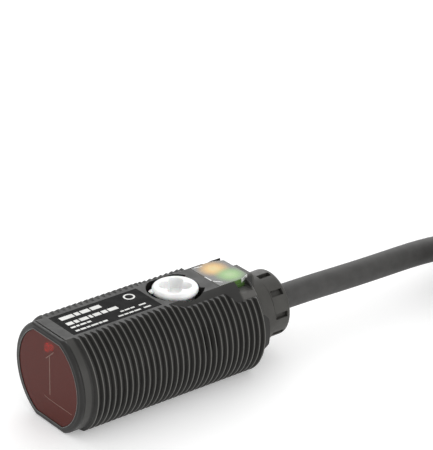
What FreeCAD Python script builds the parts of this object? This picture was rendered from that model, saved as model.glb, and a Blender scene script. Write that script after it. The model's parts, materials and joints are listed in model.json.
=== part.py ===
import FreeCAD, Part
import math
import os

import Sketcher
from FreeCAD import Rotation, Vector

# Cylindrical M18 diffuse-reflective photoelectric sensor with a moulded cable.
#
# Every sub-part is drawn in the sensor frame: the origin is the centre of the sensing face, +Y runs
# along the barrel to the cable, +Z points to the top flat, and X is across.  finish() then lifts each
# one so that the origin lies under the middle of the barrel, on the surface that its lower flat rests on.

DOCUMENT = FreeCAD.newDocument("photoelectric_sensor")

# (alias, value, what it is); millimetres, degrees or a count
SIZES = (
    ("overall_length", 40.6, "sensing face to the back of the clamp cap"),
    ("flat_height", 7.5, "barrel axis to each of the two flats"),
    ("crest_radius", 8.9, "M18 thread, crests"),
    ("root_radius", 8.38, "M18 thread, roots and plain rings"),
    ("thread_pitch", 1.0, "M18 x 1"),
    ("thread_turns", 31, "turns of thread"),
    ("thread_start", 1.94, "sensing face to the first turn, which begins at the lower flat"),
    ("crest_land", 0.125, "width of the flat on a crest"),
    ("wall_gap", 0.05, "play between a part and its seat"),
    ("bezel_depth", 0.8, "thickness of the front bezel"),
    ("bezel_radius", 8.38, "outside of the front bezel"),
    ("bezel_flat", 7.45, "axis to the bezel's flats"),
    ("bezel_round", 0.25, "rounding of the bezel's front edge"),
    ("lens_radius", 7.3, "visible front lens"),
    ("lens_flat", 6.55, "axis to the front lens's flats"),
    ("lens_recess", 0.12, "how far the lens lies behind the bezel"),
    ("lens_flange", 0.45, "how far the lens's flange reaches behind the bezel"),
    ("lens_back", 1.5, "sensing face to the back of the front lens"),
    ("gasket_back", 1.9, "sensing face to the back of the lens gasket"),
    ("bore_radius", 7.2, "inside of the barrel"),
    ("bore_top", 6.1, "axis to the flat roof of the bore"),
    ("bore_floor", 6.6, "axis to the flat floor of the bore"),
    ("case_end", 33.3, "sensing face to the rear edge of the barrel"),
    ("rear_chamfer", 0.2, "chamfer at the rear edge of the barrel"),
    ("tab_end", 34.0, "sensing face to the end of the rear tabs"),
    ("side_tab_half", 2.1, "half height of a side tab at its end"),
    ("scoop_front", 18.9, "where the threads start to run out beside the adjuster"),
    ("scoop_level", 6.8, "height of the thread ends beside the adjuster"),
    ("scoop_rear_level", 5.5, "height of the thread ends beside the window"),
    ("knob_place", 22.8, "sensing face to the adjuster's axis"),
    ("knob_radius", 3.45, "adjuster head"),
    ("knob_top", 7.85, "axis to the adjuster's top"),
    ("knob_under", 7.0, "axis to the underside of the adjuster head"),
    ("knob_round", 0.5, "rounding of the adjuster's rim"),
    ("hub_radius", 2.9, "hub under the adjuster head"),
    ("hub_bottom", 5.6, "axis to the bottom of that hub"),
    ("cross_width", 1.9, "width of the screwdriver cross"),
    ("cross_reach", 2.4, "half length of the screwdriver cross"),
    ("cross_depth", 1.4, "depth of the screwdriver cross"),
    ("cross_turn", 49.0, "turn of the cross about the adjuster's axis, degrees"),
    ("pointer_reach", 4.0, "adjuster axis to the pointer's tip"),
    ("pointer_angle", 245.0, "direction of the pointer, degrees from +X"),
    ("stem_radius", 1.2, "adjuster stem"),
    ("pocket_radius", 3.6, "round pocket for the adjuster"),
    ("pocket_floor", 5.3, "axis to the floor of the adjuster pocket"),
    ("sweep_radius", 4.35, "relief that the pointer sweeps through"),
    ("sweep_floor", 5.9, "axis to the floor of that relief"),
    ("sweep_from", 122.0, "start of the relief, degrees from +X"),
    ("sweep_angle", 291.0, "extent of the relief, degrees"),
    ("boss_radius", 4.9, "boss under the adjuster pocket"),
    ("boss_bottom", 3.6, "axis to the bottom of that boss"),
    ("gland_radius", 2.0, "groove for the adjuster's seal"),
    ("gland_bottom", 4.2, "axis to the bottom of that groove"),
    ("gland_top", 5.0, "axis to the top of that groove"),
    ("window_front", 28.2, "sensing face to the front of the indicator window"),
    ("window_half", 3.75, "half width of the window's seat"),
    ("window_thick", 0.7, "thickness of the window's plate"),
    ("notch_front", 30.8, "front of the notch that opens the window to the sides"),
    ("notch_rear", 32.9, "rear of that notch"),
    ("notch_floor", 6.2, "axis to the floor of that notch"),
    ("lamp_place", 31.2, "sensing face to the two indicator lamps"),
    ("lamp_spread", 1.5, "indicator lamps to the middle plane"),
    ("label_front", 2.65, "sensing face to the label"),
    ("label_rear", 18.0, "sensing face to the label's rear edge"),
    ("label_half", 3.2, "half width of the label"),
    ("label_thick", 0.1, "thickness of the label"),
    ("block_front", 2.0, "front of the optical block"),
    ("block_rear", 9.0, "rear of the optical block"),
    ("eye_offset", 2.85, "middle plane to each optical axis"),
    ("board_thick", 0.8, "circuit boards"),
    ("board_under", 0.6, "axis to the underside of the main board"),
    ("board_half", 5.9, "half width of the main board"),
    ("board_front", 10.4, "front edge of the main board"),
    ("board_rear", 31.5, "rear edge of the main board"),
    ("cable_drop", 0.3, "how far the cable's axis lies under the barrel's"),
    ("disc_front", 32.4, "front of the rear collar's disc"),
    ("collar_radius", 5.45, "rear collar"),
    ("collar_end", 37.35, "sensing face to the end of the rear collar"),
    ("cap_radius", 5.15, "clamp cap"),
    ("hood_top", 6.65, "axis to the top of the hood on the collar, behind the window"),
    ("hood_rear", 35.6, "sensing face to the back of that hood"),
    ("cap_front", 37.6, "sensing face to the clamp cap's full diameter"),
    ("cap_round", 0.5, "rounding of the clamp cap's rear edge"),
    ("cap_turn", 7.5, "first grip slot, degrees from the top towards +X"),
    ("slot_count", 9, "grip slots round the clamp cap"),
    ("cable_radius", 2.0, "cable"),
    ("cable_start", 33.4, "sensing face to the end of the cable's jacket"),
    ("gland_bore", 3.1, "bore of the rear collar"),
    ("conductor_radius", 0.45, "insulated conductor inside the sensor"),
    ("coil_x", 21.0, "cable coil's centre, X"),
    ("coil_y", 81.0, "cable coil's centre, Y from the middle of the barrel"),
    ("coil_inner", 14.0, "cable coil, inside radius"),
    ("coil_outer", 30.0, "cable coil, outside radius"),
    ("coil_height", 14.4, "cable coil of four nested layers"),
    ("tie_width", 4.0, "width of the coil's tie"),
    ("tie_thick", 0.5, "thickness of the coil's tie"),
    ("lead_radius", 0.5, "stripped lead at the cable's far end"),
)

LEADS = ("brown", "blue", "black", "pink")


# ---------------------------------------------------------------- sizes and the sheet

class Size:
    """A number together with the sheet formula that it comes from."""

    def __init__(self, number, formula):
        self.number = float(number)
        self.formula = formula

    def __add__(self, other):
        other = as_size(other)
        return Size(self.number + other.number, "(%s + %s)" % (self.formula, other.formula))

    def __radd__(self, other):
        return as_size(other) + self

    def __neg__(self):
        return Size(-self.number, "(-1 * %s)" % self.formula)

    def __sub__(self, other):
        return self + (-as_size(other))

    def __rsub__(self, other):
        return as_size(other) + (-self)

    def __mul__(self, other):
        other = as_size(other)
        return Size(self.number * other.number, "(%s * %s)" % (self.formula, other.formula))

    __rmul__ = __mul__

    def __truediv__(self, other):
        other = as_size(other)
        return Size(self.number / other.number, "(%s / %s)" % (self.formula, other.formula))


def as_size(value):
    return value if isinstance(value, Size) else Size(value, "(%s)" % repr(float(value)))


class Sheet:
    """The spreadsheet of driving dimensions; each alias reads back as a Size."""

    def __init__(self, rows):
        self.cells = DOCUMENT.addObject("Spreadsheet::Sheet", "Sizes")
        for row, (alias, value, note) in enumerate(rows, start=1):
            self.cells.set("A%d" % row, note)
            self.cells.set("B%d" % row, str(value))
            self.cells.setAlias("B%d" % row, alias)
        DOCUMENT.recompute()

    def __getattr__(self, alias):
        return Size(self.cells.get(alias), "Sizes." + alias)


d = Sheet(SIZES)
MIDDLE = d.overall_length / 2
SUBPARTS = []


def bind(thing, name, value):
    """Set a property and tie it to the sheet."""
    thing.setExpression(name, as_size(value).formula)


def put(thing, x=0, y=0, z=0):
    """Tie an object's position to the sheet."""
    for axis, value in zip("xyz", (x, y, z)):
        bind(thing, "Placement.Base." + axis, value)


def finish(thing, label, drop=0):
    """Name a sub-part and move it from the sensor frame to the object's own frame."""
    thing.Label = label
    put(thing, 0, -MIDDLE, d.flat_height - drop)
    SUBPARTS.append(thing)
    return thing


# ---------------------------------------------------------------- primitives and booleans

ALONG_Y = Rotation(Vector(1, 0, 0), -90)
STARTS_BELOW = Rotation(Vector(0, 1, 0), 90)


def box(name, x0, x1, y0, y1, z0, z1):
    block = DOCUMENT.addObject("Part::Box", name)
    bind(block, "Length", as_size(x1) - x0)
    bind(block, "Width", as_size(y1) - y0)
    bind(block, "Height", as_size(z1) - z0)
    put(block, x0, y0, z0)
    return block


def rod_y(name, radius, y0, y1, x=0, z=0):
    rod = DOCUMENT.addObject("Part::Cylinder", name)
    rod.Placement.Rotation = ALONG_Y
    bind(rod, "Radius", radius)
    bind(rod, "Height", as_size(y1) - y0)
    put(rod, x, y0, z)
    return rod


def rod_z(name, radius, z0, z1, x=0, y=0):
    rod = DOCUMENT.addObject("Part::Cylinder", name)
    bind(rod, "Radius", radius)
    bind(rod, "Height", as_size(z1) - z0)
    put(rod, x, y, z0)
    return rod


def ball(name, radius, x, y, z):
    sphere = DOCUMENT.addObject("Part::Sphere", name)
    bind(sphere, "Radius", radius)
    put(sphere, x, y, z)
    return sphere


def cut(name, base, *tools):
    result = DOCUMENT.addObject("Part::Cut", name)
    result.Base = base
    result.Tool = tools[0] if len(tools) == 1 else fuse(name + "_tools", *tools)
    return result


def fuse(name, *pieces):
    result = DOCUMENT.addObject("Part::MultiFuse", name)
    result.Shapes = list(pieces)
    return result


def common(name, first, second):
    result = DOCUMENT.addObject("Part::Common", name)
    result.Base = first
    result.Tool = second
    return result


def group(name, pieces):
    result = DOCUMENT.addObject("Part::Compound", name)
    result.Links = list(pieces)
    return result


def flatted_disc(name, radius, floor, roof, y0, y1):
    """A round along Y with a flat above and a flat below."""
    rod = rod_y(name + "_round", radius, y0, y1)
    slab = box(name + "_slab", -12, 12, y0, y1, floor, roof)
    return common(name, rod, slab)


# ---------------------------------------------------------------- bodies with sketches

def body(name):
    return DOCUMENT.addObject("PartDesign::Body", name)


def sketch_on(owner, name, role, offset=0):
    """A sketch on one of the body's own origin planes, moved along the plane's normal."""
    plane = [item for item in owner.Origin.OriginFeatures if item.Role == role][0]
    sketch = owner.newObject("Sketcher::SketchObject", name)
    sketch.AttachmentSupport = (plane, "")
    sketch.MapMode = "FlatFace"
    bind(sketch, "AttachmentOffset.Base.z", offset)
    return sketch


def pin_point(sketch, edge, end, x, y):
    """Fix one point of a sketch at sheet-driven coordinates."""
    for kind, value in (("DistanceX", x), ("DistanceY", y)):
        value = as_size(value)
        constraint = sketch.addConstraint(Sketcher.Constraint(kind, -1, 1, edge, end, value.number))
        sketch.setExpression("Constraints[%d]" % constraint, value.formula)


def polygon(sketch, points):
    """A closed outline of straight lines through the points."""
    corners = [Vector(as_size(x).number, as_size(y).number, 0) for x, y in points]
    first = sketch.GeometryCount
    for index, corner in enumerate(corners):
        sketch.addGeometry(Part.LineSegment(corner, corners[(index + 1) % len(corners)]), False)
    for index, (x, y) in enumerate(points):
        before = first + (index - 1) % len(points)
        sketch.addConstraint(Sketcher.Constraint("Coincident", before, 2, first + index, 1))
        pin_point(sketch, first + index, 1, x, y)


def pad(owner, name, sketch, length):
    feature = owner.newObject("PartDesign::Pad", name)
    feature.Profile = sketch
    bind(feature, "Length", length)
    return feature


def pocket(owner, name, sketch, length):
    feature = owner.newObject("PartDesign::Pocket", name)
    feature.Profile = sketch
    bind(feature, "Length", length)
    return feature


def revolve(owner, name, sketch, axis="V_Axis"):
    feature = owner.newObject("PartDesign::Revolution", name)
    feature.Profile = sketch
    feature.ReferenceAxis = (sketch, [axis])
    feature.Angle = 360
    return feature


def round_edges(owner, name, feature, radius, chosen):
    """Fillet the edges of a feature for which chosen(edge) is true."""
    DOCUMENT.recompute()
    edges = ["Edge%d" % number for number, edge in enumerate(feature.Shape.Edges, start=1) if chosen(edge)]
    fillet = owner.newObject("PartDesign::Fillet", name)
    fillet.Base = (feature, edges)
    bind(fillet, "Radius", radius)
    return fillet


def plate(name, outline, z0, z1):
    """A body padded upwards from an outline in X and Y."""
    owner = body(name)
    sketch = sketch_on(owner, name + "_outline", "XY_Plane", z0)
    polygon(sketch, outline)
    pad(owner, name + "_pad", sketch, as_size(z1) - z0)
    return owner


def chip(name, x0, x1, y0, y1, z0, z1):
    """A plain rectangular body."""
    return plate(name, ((x0, y0), (x1, y0), (x1, y1), (x0, y1)), z0, z1)


def turned(name, profile):
    """A body turned about the Y axis from (radius, y) points."""
    owner = body(name)
    sketch = sketch_on(owner, name + "_profile", "XY_Plane")
    polygon(sketch, profile)
    revolve(owner, name + "_turn", sketch)
    return owner


# ---------------------------------------------------------------- swept wires

def tangent_path(points, name):
    """Straight runs joined by tangent arcs, each as large as its two runs allow."""
    corners = [Vector(*point) for point in points]
    edges = []
    radii = []
    here = corners[0]
    for before, corner, after in zip(corners, corners[1:], corners[2:]):
        inward = (corner - before).normalize()
        outward = (after - corner).normalize()
        half_turn = inward.getAngle(outward) / 2
        setback = 0.45 * min((corner - before).Length, (after - corner).Length)
        radii.append(setback / math.tan(half_turn))
        arc_start = corner - inward * setback
        arc_end = corner + outward * setback
        to_centre = ((arc_start + arc_end) * 0.5 - corner).normalize()
        arc_middle = corner + to_centre * radii[-1] * (1 / math.cos(half_turn) - 1)
        edges.append(Part.LineSegment(here, arc_start).toShape())
        edges.append(Part.Arc(arc_start, arc_middle, arc_end).toShape())
        here = arc_end
    edges.append(Part.LineSegment(here, corners[-1]).toShape())
    if radii:
        print("%s radii: %s" % (name, " ".join("%.1f" % radius for radius in radii)))
    return Part.Wire(edges)


def wire_solid(name, points, radius):
    """A round wire along a tangent path, as one closed solid."""
    path = tangent_path(points, name)
    start = path.Edges[0].valueAt(path.Edges[0].FirstParameter)
    direction = path.Edges[0].tangentAt(path.Edges[0].FirstParameter)
    section = Part.Wire([Part.Circle(start, direction, radius).toShape()])
    solid = path.makePipeShell([section], True, True)
    thing = DOCUMENT.addObject("Part::Feature", name)
    thing.Shape = solid
    expected = math.pi * radius ** 2 * path.Length
    print("%s length %.1f, volume %.1f of %.1f" % (name, path.Length, solid.Volume, expected))
    return thing


# ---------------------------------------------------------------- the barrel

def thread_ridge():
    """The helical ridge of the thread, with its ends cut away beside the adjuster and the window."""
    sunk = 0.1
    half_crest = d.crest_land / 2
    half_foot = half_crest + (d.crest_radius - d.root_radius + sunk) * math.tan(math.radians(30))
    helix = DOCUMENT.addObject("Part::Helix", "thread_helix")
    helix.SegmentLength = 1
    bind(helix, "Pitch", d.thread_pitch)
    bind(helix, "Height", d.thread_pitch * d.thread_turns)
    bind(helix, "Radius", d.root_radius)
    helix.Placement.Rotation = STARTS_BELOW * ALONG_Y
    put(helix, 0, d.thread_start, 0)

    outline = DOCUMENT.addObject("Sketcher::SketchObject", "thread_section")
    outline.Placement.Rotation = STARTS_BELOW
    foot = d.root_radius - sunk
    polygon(outline, (
        (foot, d.thread_start - half_foot),
        (d.crest_radius, d.thread_start - half_crest),
        (d.crest_radius, d.thread_start + half_crest),
        (foot, d.thread_start + half_foot),
    ))
    DOCUMENT.recompute()

    ridge = DOCUMENT.addObject("Part::Sweep", "thread_sweep")
    ridge.Sections = [outline]
    ridge.Spine = (helix, ["Edge%d" % (index + 1) for index in range(len(helix.Shape.Edges))])
    ridge.Solid = True
    ridge.Frenet = True

    scoop = body("thread_scoop")
    side = sketch_on(scoop, "thread_scoop_side", "YZ_Plane", -12)
    polygon(side, (
        (d.scoop_front, d.flat_height),
        (d.scoop_front + 2.2, d.scoop_level),
        (d.window_front, d.scoop_level),
        (d.notch_front - 1.4, d.scoop_rear_level),
        (d.case_end + 1, d.scoop_rear_level),
        (d.case_end + 1, d.flat_height + 3),
        (d.scoop_front, d.flat_height + 3),
    ))
    pad(scoop, "thread_scoop_pad", side, 24)
    return cut("thread_trimmed", ridge, scoop)


def threaded_case():
    core = rod_y("case_core", d.root_radius, d.bezel_depth, d.case_end - d.rear_chamfer)
    chamfer = DOCUMENT.addObject("Part::Cone", "case_chamfer")
    chamfer.Placement.Rotation = ALONG_Y
    bind(chamfer, "Radius1", d.root_radius)
    bind(chamfer, "Radius2", d.root_radius - d.rear_chamfer)
    bind(chamfer, "Height", d.rear_chamfer)
    put(chamfer, 0, d.case_end - d.rear_chamfer, 0)

    tab_round = rod_y("case_tab_round", d.root_radius, d.case_end - 1, d.tab_end)
    tabs = body("case_tab_keys")
    side = sketch_on(tabs, "case_tab_side", "YZ_Plane", -9)
    foot = d.side_tab_half + 0.8
    polygon(side, (
        (d.case_end - 1, -foot),
        (d.case_end, -foot),
        (d.tab_end, -d.side_tab_half),
        (d.tab_end, d.side_tab_half),
        (d.case_end, foot),
        (d.case_end - 1, foot),
    ))
    pad(tabs, "case_tab_pad", side, 18)
    roof_tab = box("case_roof_tab", -4, 4, d.case_end - 1, d.tab_end, d.bore_top - 0.2, 9)
    keys = common("case_keys", tab_round, fuse("case_key_blocks", tabs, roof_tab))

    blank = fuse("case_blank", core, thread_ridge(), chamfer, keys)
    slab = box("case_slab", -12, 12, 0, d.tab_end + 1, -d.flat_height, d.flat_height)
    flatted = common("case_flatted", blank, slab)

    bore = flatted_disc("case_bore", d.bore_radius, -d.bore_floor, d.bore_top, d.lens_back, d.tab_end + 1)
    seat = flatted_disc(
        "case_lens_seat", d.lens_radius + d.lens_flange + d.wall_gap, -(d.lens_flat + d.lens_flange),
        d.lens_flat + d.lens_flange, 0, d.gasket_back)
    tube = cut("case_tube", flatted, bore, seat)
    boss = rod_z("case_boss", d.boss_radius, d.boss_bottom, d.bore_top + 0.2, 0, d.knob_place)
    bossed = fuse("case_bossed", tube, boss)

    well = rod_z("case_well", d.pocket_radius, d.pocket_floor, 9, 0, d.knob_place)
    sweep = rod_z("case_sweep", d.sweep_radius, d.sweep_floor, 9, 0, d.knob_place)
    bind(sweep, "Angle", d.sweep_angle)
    sweep.Placement.Rotation = Rotation(Vector(0, 0, 1), d.sweep_from.number)
    stem_hole = rod_z("case_stem_hole", d.stem_radius + 0.1, 3, d.pocket_floor + 0.5, 0, d.knob_place)
    gland = rod_z("case_gland", d.gland_radius, d.gland_bottom, d.gland_top, 0, d.knob_place)
    window_seat = box(
        "case_window_seat", -d.window_half, d.window_half, d.window_front, d.tab_end + 1,
        d.flat_height - d.window_thick - d.wall_gap, 9)
    window_hole = box("case_window_hole", -2.95, 2.95, d.window_front + 0.65, 32.35, 5, 9)
    cross_hole = box("case_cross_hole", -d.window_half, d.window_half, d.notch_front, d.notch_rear, 5, 9)
    notch = box("case_notch", -9, 9, d.notch_front, d.notch_rear, d.notch_floor, 9)
    label_seat = box(
        "case_label_seat", -d.label_half - d.wall_gap, d.label_half + d.wall_gap, d.label_front - d.wall_gap,
        d.label_rear + d.wall_gap, d.flat_height - d.label_thick, 9)
    case = cut("case_finished", bossed, well, sweep, stem_hole, gland, window_seat, window_hole, cross_hole,
               notch, label_seat)
    finish(case, "threaded_case")


def nameplate():
    label = chip("label_body", -d.label_half, d.label_half, d.label_front, d.label_rear,
                 d.flat_height - d.label_thick, d.flat_height)
    finish(label, "nameplate")


# ---------------------------------------------------------------- the optical end

def front_bezel():
    rim = flatted_disc("bezel_rim", d.bezel_radius, -d.bezel_flat, d.bezel_flat, 0, d.bezel_depth)
    DOCUMENT.recompute()
    rounded = DOCUMENT.addObject("Part::Fillet", "bezel_rounded")
    rounded.Base = rim
    radius = d.bezel_round.number
    rounded.Edges = [(number, radius, radius) for number, edge in enumerate(rim.Shape.Edges, start=1)
                     if abs(edge.CenterOfMass.y) < 0.001]
    opening = flatted_disc("bezel_opening", d.lens_radius + d.wall_gap, -d.lens_flat - d.wall_gap,
                           d.lens_flat + d.wall_gap, -1, d.bezel_depth + 1)
    finish(cut("bezel_cut", rounded, opening), "front_bezel")


def front_lens():
    pane = flatted_disc("lens_pane", d.lens_radius, -d.lens_flat, d.lens_flat, d.lens_recess, d.lens_back)
    wide = d.lens_flat + d.lens_flange - d.wall_gap
    flange = flatted_disc("lens_flange_disc", d.lens_radius + d.lens_flange, -wide, wide,
                          d.bezel_depth, d.lens_back)
    finish(fuse("lens_joined", pane, flange), "front_lens")


def lens_gasket():
    wide = d.lens_flat + d.lens_flange - d.wall_gap
    outer = flatted_disc("gasket_outer", d.lens_radius + d.lens_flange, -wide, wide, d.lens_back, d.gasket_back)
    inner = flatted_disc("gasket_inner", 7.0, -6.2, 5.9, 1, 3)
    finish(cut("gasket_ring", outer, inner), "lens_gasket")


def optical_block():
    blank = flatted_disc("block_blank", d.bore_radius - 0.1, -d.bore_floor + 0.1, d.bore_top - 0.1,
                         d.block_front, d.block_rear)
    hollows = []
    for side, name in ((-1, "emitter"), (1, "receiver")):
        inner, outer = sorted((side * 0.9, side * 4.8))
        hollows.append(box("block_%s_tunnel" % name, inner, outer, 1, 10, -3.8, 3.8))
        inner, outer = sorted((side * 0.45, side * 5.3))
        hollows.append(box("block_%s_seat" % name, inner, outer, 1, 3.05, -4.3, 4.3))
    hollows.append(box("block_shield_slot", -0.25, 0.25, 3.25, 10, -5, 5))
    finish(cut("block_cut", blank, *hollows), "optical_block")


def eye_lens(name, side):
    """A plano-convex lens: a rectangular plate with a dome behind it."""
    inner, outer = sorted((side * 0.5, side * 5.25))
    slab = box(name + "_slab", inner, outer, d.block_front, 3, -4.25, 4.25)
    dome = ball(name + "_ball", 1.93, side * d.eye_offset, 2.7, 0)
    keep = box(name + "_keep", inner, outer, d.block_front, 6, -4.25, 4.25)
    finish(fuse(name + "_joined", slab, common(name + "_dome", dome, keep)), name)


def light_shield():
    finish(chip("shield_plate_body", -0.2, 0.2, 3.3, d.block_rear - 0.05, -4.9, 4.9), "light_shield")


def optics_board():
    board = flatted_disc("optics_board_disc", d.bore_radius - 0.2, -d.bore_floor + 0.2, d.bore_top - 0.2,
                         d.block_rear, d.block_rear + d.board_thick)
    finish(board, "optics_board")


def emitter_led():
    middle = -d.eye_offset
    base = box("emitter_base", middle - 1.1, middle + 1.1, 8.2, d.block_rear, -1.1, 1.1)
    dome = ball("emitter_dome", 0.75, middle, 8.2, 0)
    finish(fuse("emitter_joined", base, dome), "emitter_led")


def receiver_ic():
    middle = d.eye_offset
    base = box("receiver_base", middle - 1.25, middle + 1.25, 8.0, d.block_rear, -1.5, 1.5)
    dome = ball("receiver_dome", 0.9, middle, 8.1, 0.2)
    finish(fuse("receiver_joined", base, dome), "receiver_ic")


# ---------------------------------------------------------------- boards and what is on them

def main_board():
    under = d.board_under
    top = under + d.board_thick
    blank = chip("board_blank", -d.board_half, d.board_half, d.board_front, d.board_rear, under, top)
    notches = []
    for side, name in ((-1, "left"), (1, "right")):
        inner, outer = sorted((side * (d.board_half.number - 0.8), side * (d.board_half.number + 1)))
        notches.append(box("board_notch_" + name, inner, outer, 18.6, 20.0, 0, 2))
    finish(cut("board_cut", blank, *notches), "main_board")


def board_chassis():
    outer = rod_y("chassis_outer", d.bore_radius - 0.15, d.board_front, d.board_rear)
    inner = rod_y("chassis_inner", 6.2, d.board_front - 1, d.board_rear + 1)
    keep = box("chassis_keep", -12, 12, d.board_front, d.board_rear, -d.bore_floor + 0.1, d.board_under)
    finish(common("chassis_half", cut("chassis_tube", outer, inner), keep), "board_chassis")


def board_link_pins():
    level = d.board_under + d.board_thick + 0.25
    pins = [rod_y("link_pin_%d" % index, 0.25, d.block_rear + d.board_thick, 12.4, 2.0 * index - 4, level)
            for index in range(5)]
    finish(group("link_pins", pins), "board_link_pins")


def shield_can():
    top = d.board_under + d.board_thick
    outer = box("can_outer", -3.3, 3.3, 12.8, 17.4, top, top + 2.6)
    inner = box("can_inner", -3.1, 3.1, 13.0, 17.2, top - 1, top + 2.4)
    finish(cut("can_shell", outer, inner), "shield_can")


def control_ic():
    top = d.board_under + d.board_thick
    pieces = [box("ic_case", -2.0, 2.0, 13.5, 16.7, top + 0.1, top + 1.3)]
    for side in (-1, 1):
        inner, outer = sorted((side * 1.8, side * 2.8))
        for index in range(5):
            start = 13.65 + 0.65 * index
            name = "ic_leg_%s_%d" % ("left" if side < 0 else "right", index)
            pieces.append(box(name, inner, outer, start, start + 0.3, top, top + 0.2))
    finish(fuse("ic_joined", *pieces), "control_ic")


def output_transistors():
    under = d.board_under
    chips = [box("transistor_%d" % index, x - 1.4, x + 1.4, 21.0, 23.4, under - 1.2, under)
             for index, x in enumerate((-2.6, 2.6))]
    finish(group("transistor_pair", chips), "output_transistors")


def surge_diode():
    under = d.board_under
    finish(chip("surge_diode_body", -2.0, 2.0, 24.4, 26.6, under - 1.4, under), "surge_diode")


def capacitors():
    under = d.board_under
    top = under + d.board_thick
    cans = [rod_z("capacitor_can_%d" % index, 1.9, under - 3.2, under, 0, y)
            for index, y in enumerate((13.2, 17.8))]
    chips = [box("capacitor_chip_%d" % index, x - 0.6, x + 0.6, y, y + 2.0, top, top + 1.1)
             for index, (x, y) in enumerate(((-4.6, 13.4), (4.6, 13.4), (-1.9, 26.6), (1.9, 26.6)))]
    finish(group("capacitor_set", cans + chips), "capacitors")


def resistors():
    top = d.board_under + d.board_thick
    chips = []
    for side in (-1, 1):
        for index in range(4):
            start = 21.0 + 2.1 * index
            name = "resistor_%s_%d" % ("left" if side < 0 else "right", index)
            chips.append(box(name, side * 4.4 - 0.3, side * 4.4 + 0.3, start, start + 1.0, top, top + 0.35))
    finish(group("resistor_set", chips), "resistors")


# ---------------------------------------------------------------- the sensitivity adjuster

def trimmer_body():
    top = d.board_under + d.board_thick
    blank = chip("trimmer_blank", -2.3, 2.3, d.knob_place - 2.3, d.knob_place + 2.3, top, top + 1.9)
    hole = rod_z("trimmer_hole", 1.5, top + 0.6, top + 3, 0, d.knob_place)
    finish(cut("trimmer_cut", blank, hole), "trimmer_body")


def trimmer_rotor():
    floor = d.board_under + d.board_thick + 0.65
    disc = rod_z("rotor_disc", 1.45, floor, floor + 1.4, 0, d.knob_place)
    slot = box("rotor_slot", -2, 2, d.knob_place - 0.3, d.knob_place + 0.3, floor + 0.6, floor + 3)
    finish(cut("rotor_cut", disc, slot), "trimmer_rotor")


def adjuster_knob():
    """Head, stem and blade turned and padded about the adjuster's own axis, with a crosshead recess."""
    knob = body("knob_body")
    profile = sketch_on(knob, "knob_profile", "XZ_Plane")
    polygon(profile, (
        (0, 3.5),
        (d.stem_radius, 3.5),
        (d.stem_radius, d.hub_bottom),
        (d.hub_radius, d.hub_bottom),
        (d.hub_radius, d.knob_under),
        (d.knob_radius, d.knob_under),
        (d.knob_radius, d.knob_top),
        (0, d.knob_top),
    ))
    turn = revolve(knob, "knob_turn", profile)
    rim = round_edges(knob, "knob_rim", turn, d.knob_round,
                      lambda edge: abs(edge.CenterOfMass.z - d.knob_top.number) < 0.001
                      and abs(edge.Length - 2 * math.pi * d.knob_radius.number) < 0.01)
    DOCUMENT.recompute()

    solid_before = rim.Shape.Volume
    recess = sketch_on(knob, "knob_recess", "XY_Plane", d.knob_top)
    half = d.cross_width / 2
    reach = d.cross_reach
    cross = ((half, half), (reach, half), (reach, -half), (half, -half), (half, -reach), (-half, -reach),
             (-half, -half), (-reach, -half), (-reach, half), (-half, half), (-half, reach), (half, reach))
    polygon(recess, cross)
    bind(recess, "AttachmentOffset.Rotation.Angle", d.cross_turn)
    hollow = pocket(knob, "knob_cross", recess, d.cross_depth)
    DOCUMENT.recompute()
    if hollow.Shape.Volume > solid_before - 1:
        raise RuntimeError("the adjuster's cross recess cut nothing")

    angle = math.radians(d.pointer_angle.number)
    along = Vector(math.cos(angle), math.sin(angle), 0)
    across = Vector(-math.sin(angle), math.cos(angle), 0)
    base = d.knob_radius.number - 0.4
    tip = d.pointer_reach.number
    corners = (along * base + across * 0.9, along * tip + across * 0.12, along * tip - across * 0.12,
               along * base - across * 0.9)
    pointer = sketch_on(knob, "knob_pointer", "XY_Plane", d.knob_under)
    polygon(pointer, [(corner.x, corner.y) for corner in corners])
    pad(knob, "knob_pointer_pad", pointer, 0.35)

    blade = sketch_on(knob, "knob_blade", "XY_Plane", 2.75)
    polygon(blade, ((-1.0, -0.25), (1.0, -0.25), (1.0, 0.25), (-1.0, 0.25)))
    pad(knob, "knob_blade_pad", blade, 0.9)
    finish(knob, "adjuster_knob")
    put(knob, 0, d.knob_place - MIDDLE, d.flat_height)


def adjuster_seal():
    ring = DOCUMENT.addObject("Part::Torus", "seal_torus")
    bind(ring, "Radius1", 1.62)
    bind(ring, "Radius2", 0.35)
    finish(ring, "adjuster_seal")
    put(ring, 0, d.knob_place - MIDDLE, d.flat_height + (d.gland_bottom + d.gland_top) / 2)


# ---------------------------------------------------------------- the indicators

def indicator_window():
    half = d.window_half - d.wall_gap
    plate_floor = d.flat_height - d.window_thick
    top_plate = box("window_plate", -half, half, d.window_front + d.wall_gap, d.tab_end, plate_floor, d.flat_height)
    saddle = box("window_saddle", -half, half, d.notch_front + d.wall_gap, d.notch_rear - d.wall_gap,
                 5.9, plate_floor + 0.1)
    plug = box("window_plug", -2.9, 2.9, d.window_front + 0.7, 32.3, 5.0, plate_floor + 0.1)
    sockets = [rod_z("window_socket_%d" % index, 1.05, 4, 6.3, side * d.lamp_spread, d.lamp_place)
               for index, side in enumerate((-1, 1))]
    joined = fuse("window_joined", top_plate, saddle, plug)
    finish(cut("window_cut", joined, *sockets), "indicator_window")


def lamp(name, side):
    top = d.board_under + d.board_thick
    x = side * d.lamp_spread
    y = d.lamp_place
    pieces = [
        rod_z(name + "_flange", 1.1, 3.2, 3.6, x, y),
        rod_z(name + "_case", 0.95, 3.2, 5.3, x, y),
        ball(name + "_dome", 0.95, x, y, 5.3),
        rod_z(name + "_leg_left", 0.2, top, 3.4, x - 0.5, y),
        rod_z(name + "_leg_right", 0.2, top, 3.4, x + 0.5, y),
    ]
    finish(fuse(name + "_joined", *pieces), name)


# ---------------------------------------------------------------- the cable end

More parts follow.
